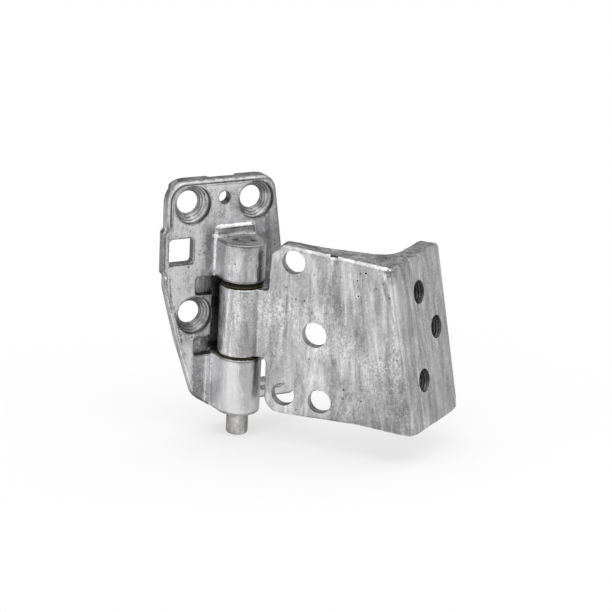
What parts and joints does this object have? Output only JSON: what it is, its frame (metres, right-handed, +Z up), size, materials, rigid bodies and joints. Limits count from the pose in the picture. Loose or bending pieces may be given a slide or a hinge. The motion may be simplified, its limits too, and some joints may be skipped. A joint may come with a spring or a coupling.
{
  "type": "truck door hinge",
  "caption": "Cast door hinge: a mounting plate with two knuckles, an angled door bracket with one knuckle, and a steel pin through them.",
  "frame": {"origin": "on the mounting face of the pillar bracket, behind the pin's axis and level with the middle of the door knuckle", "axes": "+Z up along the hinge pin, +Y out of the pillar bracket's mounting face into the pillar, +X to the right as the hinge is seen from the front"},
  "size_m": [0.1551, 0.0991, 0.1428],
  "materials": {
    "cast_aluminium": "as cast, with machined holes",
    "pin_steel": "drawn and staked",
    "bush_bronze": "plain bearing bronze",
    "washer_black": "matt"
  },
  "bodies": {
    "pillar_side": {"pillar_bracket": "cast_aluminium", "hinge_pin": "pin_steel", "thrust_washer": "washer_black"},
    "door_side": {"door_bracket": "cast_aluminium", "upper_bush": "bush_bronze", "lower_bush": "bush_bronze"}
  },
  "joints": [
    {"name": "door_swing", "type": "hinge", "parent": "pillar_side", "child": "door_side", "pos_m": [0, -0.0185, 0], "axis": [0, 0, 1], "range_deg": [-40, 48]}
  ]
}
